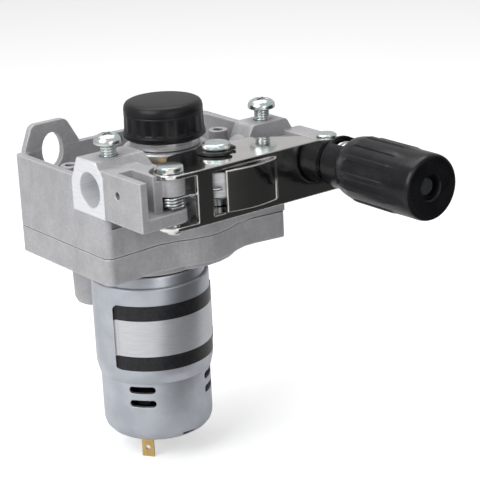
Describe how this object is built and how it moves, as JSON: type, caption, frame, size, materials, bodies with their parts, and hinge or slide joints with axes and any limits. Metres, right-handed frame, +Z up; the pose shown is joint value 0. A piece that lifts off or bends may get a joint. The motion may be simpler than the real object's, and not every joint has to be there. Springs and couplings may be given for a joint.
{
  "type": "wire feeder",
  "caption": "Motor-driven wire feeder: cast gearbox with a grooved drive roll, a sprung pressure arm with a screw tension handle, and a DC motor hanging below.",
  "frame": {"origin": "on the gear cover's panel seat, on the wire's line in plan, below the outlet clamp screw", "axes": "+X along the wire from inlet to outlet, +Z up towards the rolls, -Y towards the tension handle; the motor hangs along -Z"},
  "size_m": [0.1015, 0.134, 0.135],
  "materials": {
    "cast_aluminium": "as cast, shot-blasted, satin",
    "bright_nickel": "polished nickel plate",
    "zinc_plate": "bright zinc plate",
    "ground_steel": "ground steel",
    "can_steel": "drawn steel, satin zinc plate",
    "black_plastic": "black, satin, moulded",
    "black_steel": "black oxide",
    "brass": "plain brass",
    "sintered_bronze": "sintered bronze, matt",
    "copper": "enamelled copper",
    "ferrite": "dark, matt",
    "carbon": "matt black carbon",
    "spring_steel": "bright spring wire"
  },
  "bodies": {
    "base": {"housing": "cast_aluminium", "gear_cover": "cast_aluminium", "cover_screw_1": "zinc_plate", "cover_screw_2": "zinc_plate", "cover_screw_3": "zinc_plate", "cover_screw_4": "zinc_plate", "motor_can": "can_steel", "flux_ring": "can_steel", "motor_end_cap": "black_plastic", "motor_bush_upper": "sintered_bronze", "motor_bush_lower": "sintered_bronze", "magnet_1": "ferrite", "magnet_2": "ferrite", "brush_1": "carbon", "brush_2": "carbon", "terminal_1": "brass", "terminal_2": "brass", "motor_screw_1": "zinc_plate", "motor_screw_2": "zinc_plate", "idler_axle": "ground_steel", "shaft_bush_lower": "sintered_bronze", "shaft_bush_upper": "sintered_bronze", "pivot_pin": "zinc_plate", "torsion_spring": "spring_steel", "hinge_pin": "zinc_plate", "inlet_guide": "brass", "outlet_guide": "brass"},
    "rotor": {"motor_shaft": "ground_steel", "armature_core": "ground_steel", "winding_head_lower": "copper", "winding_head_upper": "copper", "commutator": "copper", "motor_pinion": "ground_steel"},
    "idler": {"idler_gear": "ground_steel"},
    "drive": {"drive_shaft": "ground_steel", "drive_key": "ground_steel", "output_gear": "ground_steel", "drive_roll": "ground_steel", "roll_collar": "ground_steel"},
    "insert": {"knob_insert": "brass"},
    "knob": {"roll_knob": "black_plastic"},
    "arm": {"pressure_arm": "bright_nickel", "roller_pin": "zinc_plate", "roller_clip": "black_steel", "roller_spacer_lower": "zinc_plate", "roller_spacer_upper": "zinc_plate"},
    "roller": {"pressure_roller": "ground_steel", "roller_bearing": "ground_steel"},
    "handle": {"tension_rod": "zinc_plate", "tension_spring": "spring_steel"},
    "sleeve": {"tension_sleeve": "black_plastic"},
    "nut": {"tension_nut": "zinc_plate", "thrust_washer": "zinc_plate"},
    "grip": {"tension_knob": "black_plastic"},
    "inlet_clamp": {"clamp_screw_inlet": "zinc_plate"},
    "outlet_clamp": {"clamp_screw_outlet": "zinc_plate"}
  },
  "joints": [
    {"name": "rotor_spin", "type": "hinge", "parent": "base", "child": "rotor", "pos_m": [-0.0465, 0.0135, 0], "axis": [0, 0, 1], "continuous": true},
    {"name": "idler_spin", "type": "hinge", "parent": "base", "child": "idler", "pos_m": [-0.05652, 0.03195, 0], "axis": [0, 0, 1], "continuous": true},
    {"name": "drive_spin", "type": "hinge", "parent": "base", "child": "drive", "pos_m": [-0.034, 0.016, 0], "axis": [0, 0, 1], "continuous": true},
    {"name": "knob_lift", "type": "slide", "parent": "drive", "child": "insert", "axis": [0, 0, 1], "range_m": [0, 0.0025]},
    {"name": "knob_turn", "type": "hinge", "parent": "insert", "child": "knob", "pos_m": [-0.034, 0.016, 0], "axis": [0, 0, 1], "range_deg": [0, 740]},
    {"name": "arm_float", "type": "hinge", "parent": "base", "child": "arm", "pos_m": [-0.0605, -0.0246, 0], "axis": [0, 0, -1], "range_deg": [0, 3.5], "stiffness_Nm_per_rad": 4, "deforming": ["torsion_spring"]},
    {"name": "roller_spin", "type": "hinge", "parent": "arm", "child": "roller", "pos_m": [-0.034, -0.0163, 0], "axis": [0, 0, 1], "continuous": true},
    {"name": "handle_swing", "type": "hinge", "parent": "base", "child": "handle", "pos_m": [0.0105, -0.025, 0.0332], "axis": [0, 0, 1], "range_deg": [0, 95]},
    {"name": "sleeve_slide", "type": "slide", "parent": "handle", "child": "sleeve", "axis": [0, -1, 0], "range_m": [0, 0.0046], "deforming": ["tension_spring"]},
    {"name": "tension_travel", "type": "slide", "parent": "handle", "child": "nut", "axis": [0, -1, 0], "range_m": [-0.001, 0.003]},
    {"name": "tension_turn", "type": "hinge", "parent": "nut", "child": "grip", "pos_m": [0.0105, -0.025, 0.0332], "axis": [0, -1, 0], "range_deg": [-370, 1090]},
    {"name": "inlet_clamp_travel", "type": "slide", "parent": "base", "child": "inlet_clamp", "axis": [0, 0, -1], "range_m": [0, 0.0042]},
    {"name": "outlet_clamp_travel", "type": "slide", "parent": "base", "child": "outlet_clamp", "axis": [0, 0, -1], "range_m": [0, 0.0042]}
  ],
  "couplings": [
    {"joint": "idler_spin", "follows": "rotor_spin", "ratio": -0.22807},
    {"joint": "drive_spin", "follows": "rotor_spin", "ratio": 0.048015},
    {"joint": "knob_turn", "follows": "knob_lift", "rad_per_m": 5026.5},
    {"joint": "sleeve_slide", "follows": "arm_float", "m_per_rad": 0.071},
    {"joint": "tension_turn", "follows": "tension_travel", "rad_per_m": 6283.2}
  ]
}
